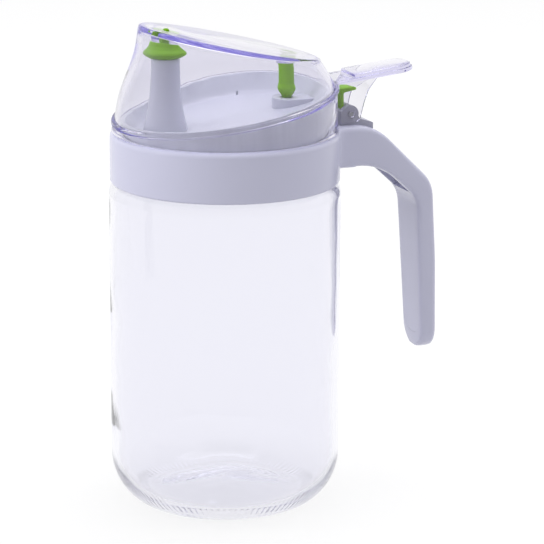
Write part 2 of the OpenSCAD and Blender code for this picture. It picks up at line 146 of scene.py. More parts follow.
# a chain of edges in the XZ plane, drawn point by point
def drawOutline(name, path, closed=False):
    clearSelection()
    bpy.ops.mesh.primitive_plane_add(size=mm, location=(path[0][0] * mm, 0, path[0][1] * mm))
    piece = bpy.context.object
    piece.name = piece.data.name = name
    settle(piece)
    bpy.ops.object.mode_set(mode="EDIT")
    bpy.ops.mesh.select_mode(type="VERT")
    bpy.ops.mesh.select_all(action="SELECT")
    bpy.ops.mesh.merge(type="CENTER")
    for a, b in zip(path, path[1:]):
        step = ((b[0] - a[0]) * mm, 0, (b[1] - a[1]) * mm)
        bpy.ops.mesh.extrude_vertices_move(TRANSFORM_OT_translate={"value": step})
    if closed:
        bpy.ops.mesh.select_all(action="DESELECT")
        bpy.ops.object.mode_set(mode="OBJECT")
        for i in (0, len(path) - 1):
            piece.data.vertices[i].select = True
        bpy.ops.object.mode_set(mode="EDIT")
        bpy.ops.mesh.edge_face_add()
    bpy.ops.object.mode_set(mode="OBJECT")
    return piece


# spins an outline about the upright axis through (x, 0); angle is for a part of a ring
def turned(name, path, steps=96, x=0, closed=False, angle=360, start=0):
    piece = drawOutline(name, [(p[0] + x, p[1]) for p in path], closed)
    if start:
        piece.rotation_euler.z = math.radians(start)
        settle(piece)
    editAll(piece)
    bpy.ops.mesh.spin(steps=steps, angle=math.radians(angle), center=(x * mm, 0, 0), axis=(0, 0, 1))
    bpy.ops.mesh.select_all(action="SELECT")
    bpy.ops.mesh.remove_doubles(threshold=0.002 * mm)
    if angle < 360:
        bpy.ops.mesh.fill_holes(sides=0)
    endEdit()
    return piece


# a filled outline in XZ, given its width along Y
def slab(name, path, width, middle=0):
    piece = drawOutline(name, path, closed=True)
    editAll(piece)
    bpy.ops.mesh.edge_face_add()
    bpy.ops.transform.translate(value=(0, (middle - width / 2) * mm, 0))
    bpy.ops.mesh.extrude_region_move(TRANSFORM_OT_translate={"value": (0, width * mm, 0)})
    endEdit()
    return piece


# a level plate from an outline in X and Y
def levelPlate(name, path, low, high):
    piece = slab(name, path, high - low, (low + high) / 2)
    piece.rotation_euler.x = math.pi / 2
    return settle(piece)


# a flat plate from an outline in X and Y, its top in the lever's plane through z
def leverPlate(name, path, z, thickness):
    piece = levelPlate(name, path, -thickness, 0)
    piece.rotation_euler.y = -math.atan(leverSlope)
    piece.location.z = z * mm
    return settle(piece)


# joins separate rings of equal count into one skin, each bridged to the next
def loft(name, rings):
    piece = rings[0]
    piece.name = piece.data.name = name
    count = len(piece.data.vertices)
    for ring in rings[1:]:
        takeUp(piece)
        ring.select_set(True)
        bpy.ops.object.join()
    takeUp(piece)
    bpy.ops.object.mode_set(mode="EDIT")
    bpy.ops.mesh.select_mode(type="EDGE")
    for i in range(len(rings) - 1):
        bpy.ops.mesh.select_all(action="DESELECT")
        bpy.ops.object.mode_set(mode="OBJECT")
        for edge in piece.data.edges:
            a, b = (v // count for v in edge.vertices)
            edge.select = a == b and a in (i, i + 1)
        bpy.ops.object.mode_set(mode="EDIT")
        bpy.ops.mesh.bridge_edge_loops()
    bpy.ops.mesh.select_all(action="SELECT")
    bpy.ops.mesh.fill_holes(sides=0)
    endEdit()
    return piece


# a level or sloping oval, centred on x and at height z there
def ovalRing(x, z, rx, ry, rise=0, count=128):
    clearSelection()
    bpy.ops.mesh.primitive_circle_add(
        vertices=count, radius=mm, location=(x * mm, 0, z * mm), rotation=(0, -math.atan(rise), 0)
    )
    bpy.context.object.scale = (rx * math.hypot(1, rise), ry, 1)
    return settle(bpy.context.object)


# a rounded oblong standing across the line from inner to outer
def oblongRing(inner, outer, half, edge):
    thick = math.dist(inner, outer)
    middle = between(inner, outer, 0.5)
    lean = math.atan2(outer[1] - inner[1], outer[0] - inner[0])
    clearSelection()
    bpy.ops.mesh.primitive_plane_add(
        size=mm, location=(middle[0] * mm, 0, middle[1] * mm), rotation=(0, -lean, 0)
    )
    bpy.context.object.scale = (thick, 2 * half, 1)
    ring = settle(bpy.context.object)
    editAll(ring)
    edge = min(edge, thick * 0.45, half * 0.9)
    bpy.ops.mesh.bevel(offset=edge * mm, segments=5, affect="VERTICES", profile=0.5)
    bpy.ops.mesh.select_all(action="SELECT")
    bpy.ops.mesh.delete(type="ONLY_FACE")
    bpy.ops.object.mode_set(mode="OBJECT")
    return ring


# how is UNION, DIFFERENCE or INTERSECT; the tool is used up
def combine(piece, tool, how):
    takeUp(piece)
    cut = piece.modifiers.new("cut", "BOOLEAN")
    cut.operation = how
    cut.object = tool
    cut.solver = "EXACT"
    bpy.ops.object.modifier_apply(modifier=cut.name)
    bpy.data.objects.remove(tool)


# cuts away what lies above the sloping plane through z, or below it
def cutSloping(piece, z, keep):
    editAll(piece)
    bpy.ops.mesh.bisect(
        plane_co=(0, 0, z * mm),
        plane_no=(-slope, 0, 1),
        use_fill=True,
        clear_outer=keep == "below",
        clear_inner=keep == "above",
    )
    endEdit()


def rod(name, radius, x, low, high, vertices=64):
    clearSelection()
    bpy.ops.mesh.primitive_cylinder_add(
        vertices=vertices,
        radius=radius * mm,
        depth=(high - low) * mm,
        location=(x * mm, 0, (low + high) / 2 * mm),
    )
    bpy.context.object.name = name
    return settle(bpy.context.object)


def crossRod(name, radius, length, x, z, vertices=64):
    clearSelection()
    bpy.ops.mesh.primitive_cylinder_add(
        vertices=vertices,
        radius=radius * mm,
        depth=length * mm,
        location=(x * mm, 0, z * mm),
        rotation=(math.pi / 2, 0, 0),
    )
    bpy.context.object.name = name
    return settle(bpy.context.object)


def block(name, low, high):
    clearSelection()
    middle = [(a + b) / 2 * mm for a, b in zip(low, high)]
    bpy.ops.mesh.primitive_cube_add(size=mm, location=middle)
    piece = bpy.context.object
    piece.name = name
    piece.scale = [b - a for a, b in zip(low, high)]
    return settle(piece)


def softenEdges(piece, width, segments=3, angle=40):
    takeUp(piece)
    edge = piece.modifiers.new("edge", "BEVEL")
    edge.width = width * mm
    edge.segments = segments
    edge.limit_method = "ANGLE"
    edge.angle_limit = math.radians(angle)
    bpy.ops.object.modifier_apply(modifier=edge.name)


def smooth(piece, angle=35):
    takeUp(piece)
    bpy.ops.object.shade_smooth_by_angle(angle=math.radians(angle))


def dress(piece, finish, body=None, stands=(), second=None):
    if second:
        piece.data.materials[0], piece.data.materials[1] = finish, second
    else:
        piece.data.materials.clear()
        piece.data.materials.append(finish)
    if body:
        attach(piece, body)
    if stands:
        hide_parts(*stands)


jar = {
    "radius": 45,
    "shoulder": 128,
    "wall": 2.5,
    "base": 3.2,
    "standRing": 29,
    "standWidth": 4,
    "heel": 16,
    "heelHeight": 20,
    "pushUp": 4,
    "shoulderRound": 4,
    "neck": 40,
    "lip": 141.5,
    "lipRound": 1.2,
    "mouth": 37,
    "waviness": 0.45,  # how far the inner wall wanders either way
    "waveLength": 0.03,  # metres
    "waveLow": 12,  # where the wall starts to wander, and where it stops
    "waveHigh": 122,
    "floorWaviness": 0.8,
    "floorWaveLength": 0.018,
    "floorWaveEnd": 36,  # radius
    "barCount": 96,  # moulded bars round the heel
    "barFrom": 32.2,  # radii
    "barTo": 37.5,
    "barHeight": 0.035,
    "steps": 192,
}


def makeJar():
    r, z, t = jar["radius"], jar["shoulder"], jar["wall"]
    ring, k, top, lip = jar["standRing"], jar["shoulderRound"], jar["lip"], jar["lipRound"]
    neck, mouth, base, dish = jar["neck"], jar["mouth"], jar["base"], ring - jar["standWidth"]
    inFloor = ring - 2
    inHeel = jar["heelHeight"] - base
    path = [(dish * i / 10, jar["pushUp"] * (1 - (i / 10) ** 2)) for i in range(10)]
    path += [(dish, 0.12), (dish + 0.6, 0)]
    path += arc(ring, jar["heelHeight"], jar["heel"], jar["heelHeight"], -90, 0, 24)
    path += spread(path[-1], (r, z - k), 4)[1:]
    path += arc(r - k, z - k, k, k, 0, 90, 8)
    path += [(neck + 0.8, z), (neck + 0.25, z + 0.25), (neck, z + 0.8)]
    path += arc(neck - lip, top - lip, lip, lip, 0, 90, 5)
    path += arc(mouth + lip, top - lip, lip, lip, 90, 180, 5)
    path += [(mouth, z - 1)]
    path += arc(mouth, z - 1 - k, r - t - mouth, k, 80, 0, 7)
    path += spread(path[-1], (r - t, base + inHeel), 3)[1:]
    path += arc(inFloor, base + inHeel, r - t - inFloor, inHeel, 0, -90, 20)
    for i in range(1, 13):
        share = 1 - i / 12
        path.append((inFloor * share, base + jar["pushUp"] * (1 - share**2)))
    piece = turned("jar", path, jar["steps"])
    ripple(piece)
    markHeel(piece)
    combine(piece, makeThreads(), "UNION")
    smooth(piece, 50)
    return piece


# the inside of the moulded wall and of its floor wander a little
def ripple(piece):
    low, high, inside = jar["waveLow"], jar["waveHigh"], jar["radius"] - 1.5

    def onWall(r, z):
        return min((z - low) / 25, (high - z) / 12) if r < inside else 0

    def onFloor(r, z):
        underside = jar["pushUp"] * max(0, 1 - (r / (jar["standRing"] - jar["standWidth"])) ** 2)
        return (jar["floorWaveEnd"] - r) / 8 if underside + 1.5 < z < low else 0

    wander(piece, onWall, jar["waviness"], jar["waveLength"])
    wander(piece, onFloor, jar["floorWaviness"], jar["floorWaveLength"])


# share says how much of the height a point takes, given its distance from the axis and its level
def wander(piece, share, height, length):
    group = piece.vertex_groups.new(name="wandering")
    for v in piece.data.vertices:
        x, y, z = v.co / mm
        weight = share(math.hypot(x, y), z)
        if weight > 0:
            group.add([v.index], min(1, weight), "REPLACE")
    clouds = bpy.data.textures.new("glassWander", "CLOUDS")
    clouds.noise_scale = length
    clouds.noise_depth = 1
    takeUp(piece)
    wave = piece.modifiers.new("wander", "DISPLACE")
    wave.texture = clouds
    wave.texture_coords = "LOCAL"
    wave.vertex_group = group.name
    wave.strength = 2 * height * mm
    bpy.ops.object.modifier_apply(modifier=wave.name)
    piece.vertex_groups.clear()


# short moulded bars on the heel, just outside the ring that the jar stands on
def markHeel(piece):
    def onBar(c, n):
        r = math.hypot(c.x, c.y)
        across = (math.atan2(c.y, c.x) / math.tau * jar["barCount"]) % 1
        return jar["barFrom"] < r < jar["barTo"] and c.z < 3.5 and n.z < 0 and across < 0.5

    pickFaces(piece, onBar)
    bpy.ops.mesh.inset(thickness=0.12 * mm, depth=jar["barHeight"] * mm, use_even_offset=True)
    bpy.ops.object.mode_set(mode="OBJECT")


screw = {
    "starts": 4,
    "lead": 19.2,
    "turn": 139,  # degrees that each thread runs
    "low": 131.6,
    "high": 1.8,
    "out": 1.3,
}


def makeThreads():
    root, out = jar["neck"] - 0.4, jar["neck"] + screw["out"]
    low, high = screw["low"], screw["low"] + screw["high"]
    path = [(root, low), (out - 0.5, low + 0.1), (out, low + 0.5)]
    path += [(out, high - 0.5), (out - 0.5, high - 0.1), (root, high)]
    first = drawOutline("thread", path, closed=True)
    takeUp(first)
    climb = first.modifiers.new("climb", "SCREW")
    climb.angle = math.radians(screw["turn"])
    climb.screw_offset = screw["lead"] * screw["turn"] / 360 * mm
    climb.steps = climb.render_steps = 40
    bpy.ops.object.modifier_apply(modifier=climb.name)
    editAll(first)
    bpy.ops.mesh.fill_holes(sides=0)
    endEdit()
    threads = [first]
    for i in range(1, screw["starts"]):
        thread = first.copy()
        thread.data = first.data.copy()
        bpy.context.collection.objects.link(thread)
        thread.rotation_euler.z = math.tau * i / screw["starts"]
        threads.append(settle(thread))
    takeUp(first)
    for thread in threads:
        thread.select_set(True)
    bpy.ops.object.join()
    return first


collar = {
    "inside": 41.7,
    "outside": 44.5,
    "low": 128.3,
    "ledge": 145.1,
    "top": 147.6,
    "opening": 40.4,
    "topRound": 2,
    "lugAngle": 8,
    "lugHigh": 1.6,
    "lugLow": 129.3,
    "steps": 192,
}
handle = {
    "outer": [(41.8, 147.4), (58.6, 147.4, 20), (84.1, 122.6, 14), (86.5, 91.4, 80), (87.7, 53)],
    "inner": [(41.8, 131.2), (61, 131.8, 24), (77.6, 116.5, 12), (81.2, 53)],
    "halfTop": 12,  # half width level with the collar's top
    "narrowing": 0.0291,  # lost on each side for every millimetre down
    "edge": 2.2,  # rounding of the long edges
    "endRound": 9,  # rounding of the grip's lower end, seen from the front
    "fillet": 3,  # where the arch leaves the collar
}
cover = {"width": 14.3, "thick": 1.8, "top": 118.6, "low": 59.2}  # closes the grip's hollow
hollow = {
    "outline": [
        (65.5, 126),
        (68.5, 129.6),
        (79.3, 119.1),
        (81.7, 109.1),
        (85.4, 59),
        (75.2, 59),
        (69.7, 117.1),
    ],
    "width": 14.38,
    "low": 59.15,
    "taper": 0.6,  # lost on each side at its foot
    "corner": 5.6,
}
hinge = {
    "x": 49.5,
    "z": 151.9,
    "pin": 1.1,
    "pinLong": 16.5,
    "knuckle": 3.4,
    "width": 12.9,
    "footEnd": 59.5,  # how far the knuckle's foot runs along the arch
}
strap = {
    "thick": 1.2,
    "wide": 8,
    "x": 47.25,
    "low": 148.3,
    "top": 161.7,
    "tabEnd": 52.8,
    "tabRise": 0.4,
    "tabThick": 1.1,
}


def halfWidth(z):
    return handle["halfTop"] - handle["narrowing"] * (collar["top"] - z)


# x of a falling path where it passes height z
def crossing(path, z):
    for a, b in zip(path, path[1:]):
        if b[1] <= z <= a[1] and a[1] > b[1]:
            return a[0] + (b[0] - a[0]) * (a[1] - z) / (a[1] - b[1])
    return path[-1][0]


# the rings that the handle is stretched over, from inside the collar's wall to the grip's end
def handleRings():
    o, i = handle["outer"], handle["inner"]
    fillet, end = handle["fillet"], handle["endRound"]
    rows = []
    root = halfWidth((o[0][1] + i[0][1]) / 2)
    clear = math.sqrt((collar["outside"] + fillet) ** 2 - (root + fillet) ** 2)
    for x in (41.8, 42.3, 42.7, 43.2, 43.9, clear):
        short = clear - max(x, clear - fillet + 0.15)
        flare = fillet - math.sqrt(max(0.0, fillet**2 - short**2))
        rows.append(((x, i[0][1]), (x, o[0][1]), root + flare))
    rows += [((x, i[0][1]), (x, o[0][1]), root) for x in (47.5, 50)]
    outArch = cornerArc(o[0], o[1][:2], o[2][:2], o[1][2], 8)
    inArch = cornerArc(i[0], i[1][:2], i[2][:2], i[1][2], 8)
    outBend = cornerArc(o[1][:2], o[2][:2], o[3][:2], o[2][2], 12)
    inBend = cornerArc(i[1][:2], i[2][:2], i[3], i[2][2], 12)
    back = [outBend[-1], *cornerArc(o[2][:2], o[3][:2], o[4], o[3][2], 6), o[4]]
    pairs = list(zip(inArch, outArch))
    for s in (0.25, 0.5, 0.75):
        pairs.append((between(inArch[-1], inBend[0], s), between(outArch[-1], outBend[0], s)))
    pairs += zip(inBend, outBend)
    rows += [(a, b, halfWidth((a[1] + b[1]) / 2)) for a, b in pairs]
    low = i[3][1]
    drop = outBend[-1][1] - inBend[-1][1]  # how far the outside's height is above the inside's
    heights = [inBend[-1][1] + (low + end - inBend[-1][1]) * n / 8 for n in range(1, 9)]
    for n, z in enumerate(heights):
        a = between(inBend[-1], i[3], (inBend[-1][1] - z) / (inBend[-1][1] - low))
        zOut = z + drop * (1 - (n + 1) / 8)
        rows.append((a, (crossing(back, zOut), zOut), halfWidth(z)))
    for n in range(1, 11):
        turn = math.radians(n * 9)
        z = low + end * (1 - math.sin(turn))
        a = between(inBend[-1], i[3], (inBend[-1][1] - z) / (inBend[-1][1] - low))
        thin = 0.9 * max(0.0, 1 - (z - low) / 0.9)
        half = halfWidth(z) - end * (1 - math.cos(turn))
        rows.append(((a[0] + thin, z), (crossing(back, z) - thin, z), half))
    return [oblongRing(a, b, half, handle["edge"]) for a, b, half in rows]


def makeCollar():
    r, top = collar["outside"], collar["top"]
    corners = [
        (r, collar["low"], 1),
        (r, top, collar["topRound"]),
        (collar["opening"], top, 0.5),
        (collar["opening"], collar["ledge"], 0.15),
        (collar["inside"], collar["ledge"], 0),
        (collar["inside"], collar["low"], 0.4),
    ]
    piece = turned("collar", roundCorners(corners), collar["steps"], closed=True)
    grip = loft("handle", handleRings())
    combine(grip, makeHollow(), "DIFFERENCE")
    combine(piece, grip, "UNION")
    addLugs(piece)
    addBracket(piece)
    bore = crossRod("bore", hinge["pin"] + 0.03, hinge["width"] + 3, hinge["x"], hinge["z"])
    combine(piece, bore, "DIFFERENCE")
    half, across = strap["thick"] / 2 + 0.1, strap["wide"] / 2 + 0.1
    low, x = strap["low"] - 0.1, strap["x"]
    slot = block("slot", (x - half, -across, low), (x + half, across, 160))
    combine(piece, slot, "DIFFERENCE")
    smooth(piece)

    # the knuckle and its foot get the second slot: a darker copy of the white plastic, painted
    # shade for the shade they lie in
    def onBracket(c, n):
        withinFoot = abs(c.y) < hinge["width"] / 2 + 0.1
        return c.x > strap["x"] - 2 and withinFoot and c.z > collar["top"] + 0.05

    piece.data.materials.append(None)
    piece.data.materials.append(None)
    pickFaces(piece, onBracket)
    piece.active_material_index = 1
    bpy.ops.object.material_slot_assign()
    bpy.ops.object.mode_set(mode="OBJECT")
    return piece


# closes the grip's hollow, level with the face round it
def makeCover():
    i, t = handle["inner"], cover["thick"]
    bend = cornerArc(i[1][:2], i[2][:2], i[3], i[2][2], 12)
    top = (crossing([i[1][:2], *bend, i[3]], cover["top"]), cover["top"])
    foot = between(bend[-1], i[3], (bend[-1][1] - cover["low"]) / (bend[-1][1] - i[3][1]))
    face = [top, *(p for p in bend if p[1] < top[1]), *spread(bend[-1], foot, 8)[1:], foot]
    back = []
    for n, point in enumerate(face):
        along = Vector(face[min(n + 1, len(face) - 1)]) - Vector(face[max(n - 1, 0)])
        back.append(tuple(Vector(point) + Vector((-along.y, along.x)).normalized() * t))
    piece = slab("gripCover", face + back[::-1], cover["width"])
    combine(piece, hollowFront(cover["width"] / 2, cover["low"]), "INTERSECT")
    softenEdges(piece, 0.05, 1, 50)
    smooth(piece)
    return piece


# the grip's hollow, which the cover closes
def makeHollow():
    tool = slab("hollow", hollow["outline"], hollow["width"])
    combine(tool, hollowFront(hollow["width"] / 2, hollow["low"]), "INTERSECT")
    return tool


# the hollow's outline from the front: a little narrower at its foot, with rounded corners there
def hollowFront(half, low):
    foot, r = half - hollow["taper"], hollow["corner"]
    corners = [(-foot, low, r), (foot, low, r), (half, low + 46, 0)]
    corners += [(half, 140, 0), (-half, 140, 0), (-half, low + 46, 0)]
    front = slab("front", roundCorners(corners, 8), 60, -85)
    front.rotation_euler.z = math.pi / 2
    return settle(front)


def addLugs(piece):
    root, inner = collar["inside"] + 0.4, jar["neck"] + 0.3
    low, high = collar["lugLow"], collar["lugLow"] + collar["lugHigh"]
    path = [(root, low), (inner + 0.4, low + 0.1), (inner, low + 0.4)]
    path += [(inner, high - 0.4), (inner + 0.4, high - 0.1), (root, high)]
    for i in range(screw["starts"]):
        start = 360 * i / screw["starts"] - collar["lugAngle"] / 2
        lug = turned("lug", path, 8, closed=True, angle=collar["lugAngle"], start=start)
        combine(piece, lug, "UNION")


# the knuckle for the hinge pin, on a foot that runs along the arch
def addBracket(piece):
    x, z, r, top = hinge["x"], hinge["z"], hinge["knuckle"], collar["top"]
    end = hinge["footEnd"]
    back = strap["x"] - strap["thick"] / 2 - 1.1
    corners = [
        (back, 145.4, 0),
        (back, z + 1.2, 0.5),
        (x, z + 1.2, 0),
        (x + r - 0.4, z, 0),
        (x + r + 0.4, top + 2.2, 0.8),
        (end, top + 0.2, 0.5),
        (end, 144.4, 0),
    ]
    foot = slab("foot", roundCorners(corners, 4), hinge["width"])
    combine(foot, crossRod("knuckle", r, hinge["width"], x, z), "UNION")
    softenEdges(foot, 0.25, 2, 50)
    combine(piece, foot, "UNION")


insert = {
    "flange": 41.4,
    "flangeLow": 143.1,
    "flangeHigh": 145.1,
    "outside": 40,
    "wall": 1.6,
    "draft": 3.4,  # how far the basin's wall leans in at its foot
    "rim": 158.5,
    "floor": 153.2,
    "floorThick": 1.6,
    "spoutX": -24,
    "spoutTop": 177.2,
    "spoutRadius": 5.4,
    "spoutFoot": 8.8,
    "spoutCurve": 2.4,  # how late the spout's foot flares; 1 is a straight cone
    "spoutBore": 3.6,
    "ventX": 25.5,
    "ventTop": 160,
    "ventRadius": 5.7,
    "ventBore": 1.6,
    "weep": 0.5,
    "weepPlace": (0.44, 0.78),  # shares of the basin's radius along X and Y
}


def makeInsert():
    n = insert
    basin = n["outside"] - n["wall"]
    path = [(0, n["flangeLow"]), (n["flange"], n["flangeLow"]), (n["flange"], n["flangeHigh"])]
    path += [(n["outside"], n["flangeHigh"]), (n["outside"], 175), (0, 175)]
    piece = turned("insert", path, 128)
    cutSloping(piece, n["rim"], "below")
    foot = basin - n["draft"]
    levels = [(0, foot - 2), (0.25, foot - 0.9), (0.9, foot - 0.1), (2, foot + 0.7)]
    levels += [(n["rim"] - n["floor"], basin), (30, basin + 1)]
    above = loft("above", [ovalRing(0, n["floor"] + up, r, r, slope) for up, r in levels])
    combine(piece, above, "DIFFERENCE")
    under = rod("under", basin, 0, 142, 180, 128)
    cutSloping(under, n["floor"] - n["floorThick"], "below")
    combine(piece, under, "DIFFERENCE")
    softenEdges(piece, 0.35)
    middle = n["floor"] - n["floorThick"] / 2

    # the spout
    floorHere = n["floor"] + slope * n["spoutX"]
    flare = []
    for i in range(17):
        up = i / 16
        wider = (n["spoutFoot"] - n["spoutRadius"]) * (1 - up) ** n["spoutCurve"]
        level = floorHere + (n["spoutTop"] - 0.5 - floorHere) * up
        flare.append((n["spoutRadius"] + wider, level))
    lip = [(n["spoutRadius"] - 0.15, n["spoutTop"] - 0.15), (n["spoutRadius"] - 0.5, n["spoutTop"])]
    wide = n["spoutFoot"] + 0.9
    foot = [(0, floorHere - 4), (wide, floorHere - 4), (wide, floorHere - 0.4)]
    tower = turned("spout", [*foot, *flare, *lip, (0, n["spoutTop"])], 96, n["spoutX"])
    cutSloping(tower, middle, "above")
    combine(piece, tower, "UNION")

    # the vent's boss, which runs back to the wall
    r = n["ventRadius"]
    outline = [*arc(n["ventX"], 0, r, r, 90, 270, 48), (45, -r), (45, r)]
    boss = levelPlate("boss", outline, 150, n["ventTop"])
    softenEdges(boss, 0.4, 3, 50)
    cutSloping(boss, middle, "above")
    combine(boss, rod("limit", n["outside"] - n["wall"] / 2, 0, 140, 180, 128), "INTERSECT")
    combine(piece, boss, "UNION")

    # both bores and the weep hole
    bore = [(0, 140), (n["spoutBore"], 140), (n["spoutBore"], n["spoutTop"] - 0.4)]
    bore += [(n["spoutBore"] + 0.5, n["spoutTop"] + 0.2), (0, n["spoutTop"] + 0.2)]
    combine(piece, turned("bore", bore, 64, n["spoutX"]), "DIFFERENCE")
    seat, top = n["ventBore"] + 0.8, n["ventTop"]
    vent = [(0, 140), (n["ventBore"], 140), (n["ventBore"], top - 1.6)]
    vent += [(seat, top - 0.9), (seat, top + 1), (0, top + 1)]
    combine(piece, turned("vent", vent, 48, n["ventX"]), "DIFFERENCE")
    weep = rod("weep", n["weep"], 0, 140, 180, 32)
    weep.location = (n["weepPlace"][0] * basin * mm, n["weepPlace"][1] * basin * mm, 0)
    combine(piece, settle(weep), "DIFFERENCE")
    smooth(piece)
    return piece


lid = {
    "skirtLow": 148.1,
    "skirt": 43.4,
    "skirtInside": 41.5,
    "footBead": [(0, 0.3), (0.15, 0.45), (0.5, 0.45), (2.2, 0)],  # height, and how far out
    "rim": 158.9,
    "beadHigh": 1.6,
    "beadOut": 0.5,
    "hood": 42.6,
    "wall": 1.9,
    "roof": 182.8,
    "roofX": 1.8,
    "roofLong": 35.1,
    "roofWide": 30,
    "roofThick": 2.2,
    "edge": 0.9,  # rounding of the edge between the hood's side and its roof
    "innerEdge": 0.35,
    "flare": 0.045,  # how far the hood's side bows from straight, as a share of its draft
    "lean": 0.45,  # and how far its middle sways towards the spout and back
    "lever": 160.5,  # height of the lever's plane over the jar's axis
    "leverEnd": 77.5,
    "leverWide": 17,
    "leverThick": 1.6,
    "pad": 1.2,
    "cheek": 1.6,
    "cheekOut": 8.35,
    "rings": 128,
}


# rings from the rim up to the roof's edge, shrunk by t all round; the edge is turned over in steps
def hoodRings(t, edge):
    n = lid["rings"]
    foot = (0, lid["rim"] - t, lid["hood"] - 0.8 * t, lid["hood"] - 0.8 * t, slope)
    x = lid["roofX"]
    z = lid["roof"] - roofSlope * x - t * 1.15
    top = (x, z, lid["roofLong"] - t, lid["roofWide"] - t, -roofSlope)

    # the side flares at its foot and stands steeper above
    def blend(step):
        u = step / 12 * 0.94
        bow = math.sin(math.tau * step / 12)
        inwards = u - lid["flare"] * bow
        rx, ry = (foot[i] + (top[i] - foot[i]) * inwards for i in (2, 3))
        rise = (foot[4] * foot[2] * (1 - u) + top[4] * top[2] * u) / rx
        level = foot[1] + (top[1] - foot[1]) * u
        return ovalRing(top[0] * u - lid["lean"] * bow, level, rx, ry, rise, n)

    rings = [blend(step) for step in range(13)]
    for i in range(1, 6):
        turn = math.radians(i * 18)
        up = edge * (1 - math.sin(turn))
        back = edge * (1 - math.cos(turn)) * 0.8
        rx, ry = top[2] + up * 0.25 - back, top[3] + up * 0.55 - back
        rings.append(ovalRing(top[0], top[1] - up, rx, ry, top[4], n))
    return rings


def makeLid():
    n = lid["rings"]
    s, low, rim, bead = lid["skirt"], lid["skirtLow"], lid["rim"], lid["beadHigh"]
    out = s + lid["beadOut"]
    outer = [ovalRing(0, low + up, s + wide, s + wide, 0, n) for up, wide in lid["footBead"]]
    levels = [(rim - bead - 0.4, s), (rim - bead, s + 0.15), (rim - bead + 0.35, out)]
    levels += [(rim - 0.5, out), (rim - 0.15, out - 0.2), (rim, out - 0.6)]
    outer += [ovalRing(0, z, r, r, slope, n) for z, r in levels]
    piece = loft("lid", outer + hoodRings(0, lid["edge"]))
    addLever(piece)
    i, t = lid["skirtInside"], lid["wall"]
    inner = [ovalRing(0, z, i, i, 0, n) for z in (low - 2, low + 0.2)]
    inner.append(ovalRing(0, rim - t - 0.6, i, i, slope, n))
    inner.append(ovalRing(0, rim - t - 0.2, i - 0.15, i - 0.15, slope, n))
    room = loft("room", inner + hoodRings(t, lid["innerEdge"]))
    x, z = insert["spoutX"], insert["spoutTop"]
    combine(room, rod("hang", 5, x, z + 7, z + 40, 64), "DIFFERENCE")
    ventX, ventTop = insert["ventX"], lid["roof"] - roofSlope * insert["ventX"]
    hang = rod("hang", 3.6, ventX, ventTop - ventPlug["sunk"], ventTop + 20, 64)
    combine(room, hang, "DIFFERENCE")
    combine(piece, room, "DIFFERENCE")
    combine(piece, rod("nubHole", 1.2, x, z + 5, z + 40, 32), "DIFFERENCE")
    combine(piece, crossRod("bore", hinge["pin"] + 0.05, 30, hinge["x"], hinge["z"]), "DIFFERENCE")
    inside = lid["cheekOut"] - lid["cheek"]
    top = lid["lever"] + leverSlope * i - lid["leverThick"]
    gap = block("gap", (i - 3, -inside, low - 3), (i + 9, inside, top - 0.9))
    combine(piece, gap, "DIFFERENCE")
    smooth(piece, 30)
    return piece


def addLever(piece):
    half, start = lid["leverWide"] / 2, lid["skirtInside"]
    end = lid["leverEnd"] / math.cos(math.atan(leverSlope))
    turn = half * 2 * 0.42
    corners = [(start, -half, 0), (end, -half, turn), (end, half, turn), (start, half, 0)]
    plate = leverPlate("plate", roundCorners(corners, 10), lid["lever"], lid["leverThick"])
    softenEdges(plate, 0.35, 2)
    half -= 1
    first, last = hinge["x"] + 2, end - 0.8
    turn = half * 2 * 0.42
    corners = [(first, -half, 1.2), (last, -half, turn), (last, half, turn), (first, half, 1.2)]
    pad = leverPlate("pad", roundCorners(corners, 10), lid["lever"] + lid["pad"], lid["pad"] + 0.5)
    softenEdges(pad, 0.4, 3)
    combine(plate, pad, "UNION")
    x, z, r = hinge["x"], hinge["z"], hinge["knuckle"]
    under = lid["lever"] + leverSlope * x - 0.5
    corners = [(start + 0.9, lid["skirtLow"], 0), (x - 1, z - r + 0.3, 2)]
    corners += [(x + r + 0.1, z - r + 0.5, 1.8), (x + 1.6 * r, z + 1.3 * r, 12)]
    corners += [(x + 2.1 * r, z + 2.7 * r, 8), (x + 3.4 * r, under + 1.2, 0)]
    corners += [(start + 0.9, under - 1.2, 0)]
    middle = lid["cheekOut"] - lid["cheek"] / 2
    for side in (-1, 1):
        cheek = slab("cheek", roundCorners(corners), lid["cheek"], side * middle)
        softenEdges(cheek, 0.25, 2, 60)
        combine(plate, cheek, "UNION")
    combine(piece, plate, "UNION")


def makeStrap():
    back, front = strap["x"] - strap["thick"] / 2, strap["x"] + strap["thick"] / 2
    low, top, end, rise = strap["low"], strap["top"], strap["tabEnd"], strap["tabRise"]
    under = top - strap["tabThick"]
    corners = [(back, low, 0.2), (back, top, 0.9), (end, top + rise, 0.5), (end, under + rise, 0.5)]
    corners += [(front, under - 0.7, 0.8), (front, low, 0.2)]
    piece = slab("returnStrap", roundCorners(corners), strap["wide"])
    softenEdges(piece, 0.3, 2, 50)
    smooth(piece)
    return piece


spoutPlug = {
    "gap": 0.3,  # above the spout's lip
    "cap": [  # radius, height and rounding of each corner
        (6.3, 0, 0.3),
        (7.7, 0.95, 0.6),
        (8.2, 1.8, 0.5),
        (7.9, 2.6, 0.6),
        (6.8, 3.6, 1),
        (6, 5, 1),
        (5.5, 6.7, 0.4),
    ],
    "stem": 1.25,
    "nubOut": 0.6,  # how far the stem stands out of the roof
}
ventPlug = {
    "tip": [
        (1.5, -0.7, 0.2),
        (1.9, 0.3, 0.3),
        (3.3, 2, 0.4),
        (3.5, 2.9, 0.5),
        (3.2, 3.7, 0.4),
        (3, 4.2, 0.3),
    ],
    "radius": 3,
    "sunk": 3.1,  # how far its top is below the roof
}


